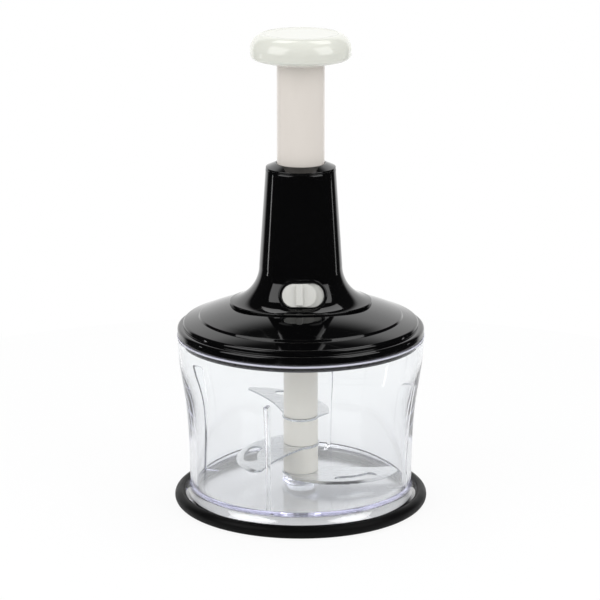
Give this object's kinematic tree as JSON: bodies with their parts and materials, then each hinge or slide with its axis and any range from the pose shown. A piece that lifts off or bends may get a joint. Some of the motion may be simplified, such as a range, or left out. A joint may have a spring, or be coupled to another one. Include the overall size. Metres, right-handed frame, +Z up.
{
  "type": "plunger food chopper",
  "caption": "Hand-pumped food chopper: clear bowl on a rubber ring, stacked curved blades on a pin, stepped lid with tower, sprung plunger knob and lock slide.",
  "frame": {"origin": "centre of the base ring on the table plane", "axes": "+Z up along the axis of bowl, blades and plunger; -Y towards the front, where the lock slide is; +X to the right seen from the front"},
  "size_m": [0.15, 0.15, 0.2803],
  "materials": {
    "clear_plastic": "clear",
    "black_rubber": "matt",
    "column_plastic": "satin",
    "blade_steel": "brushed",
    "pin_steel": "polished",
    "black_gloss": "gloss",
    "inner_black": "satin",
    "seal_rubber": "matt",
    "plunger_plastic": "gloss",
    "knob_plastic": "gloss",
    "lock_plastic": "gloss",
    "acetal": "natural",
    "spring_steel": "drawn",
    "screw_steel": "zinc plated",
    "bar_steel": "drawn"
  },
  "bodies": {
    "bowl_body": {"base_ring": "black_rubber", "bowl": "clear_plastic", "pivot_pin": "pin_steel"},
    "blade_unit": {"column_upper": "column_plastic", "column_spacer_upper": "column_plastic", "column_spacer_lower": "column_plastic", "column_foot": "column_plastic", "blade_lower": "blade_steel", "blade_middle": "blade_steel", "blade_upper": "blade_steel"},
    "head": {"lid_cover": "black_gloss", "lid_plate": "inner_black", "lid_seal": "seal_rubber", "lid_plate_screws": "screw_steel", "tower_housing": "black_gloss", "tower_collar": "black_gloss", "tower_screws": "screw_steel", "guide_sleeve": "inner_black", "bearing_bush": "acetal", "spring_seat": "screw_steel", "return_spring": "spring_steel", "lock_carrier": "inner_black", "lock_bezel": "lock_plastic"},
    "plunger": {"plunger_tube": "plunger_plastic", "drive_nut": "acetal", "knob": "knob_plastic", "knob_cap": "knob_plastic", "knob_screw": "screw_steel"},
    "drive_train": {"drive_bar": "bar_steel", "guide_disc": "acetal", "drive_coupling": "column_plastic", "coupling_screw": "screw_steel"},
    "lock": {"lock_plate": "acetal", "lock_button": "lock_plastic"}
  },
  "joints": [
    {"name": "head_lift", "type": "slide", "parent": "bowl_body", "child": "head", "axis": [0, 0, 1], "range_m": [0, 0.12]},
    {"name": "plunger_slide", "type": "slide", "parent": "head", "child": "plunger", "axis": [0, 0, -1], "range_m": [0, 0.05], "stiffness_N_per_m": 200, "springref_m": -0.04, "deforming": ["return_spring"]},
    {"name": "drive_turn", "type": "hinge", "parent": "head", "child": "drive_train", "pos_m": [0, 0, 0.115], "axis": [0, 0, 1], "range_deg": [-562.6, 0]},
    {"name": "blade_turn", "type": "hinge", "parent": "bowl_body", "child": "blade_unit", "pos_m": [0, 0, 0.015], "axis": [0, 0, 1], "range_deg": [-562.6, 0]},
    {"name": "lock_slide", "type": "slide", "parent": "head", "child": "lock", "axis": [1, 0, 0], "range_m": [0, 0.004]}
  ],
  "couplings": [
    {"joint": "drive_turn", "follows": "plunger_slide", "rad_per_m": -196.35},
    {"joint": "blade_turn", "follows": "plunger_slide", "rad_per_m": -196.35}
  ]
}
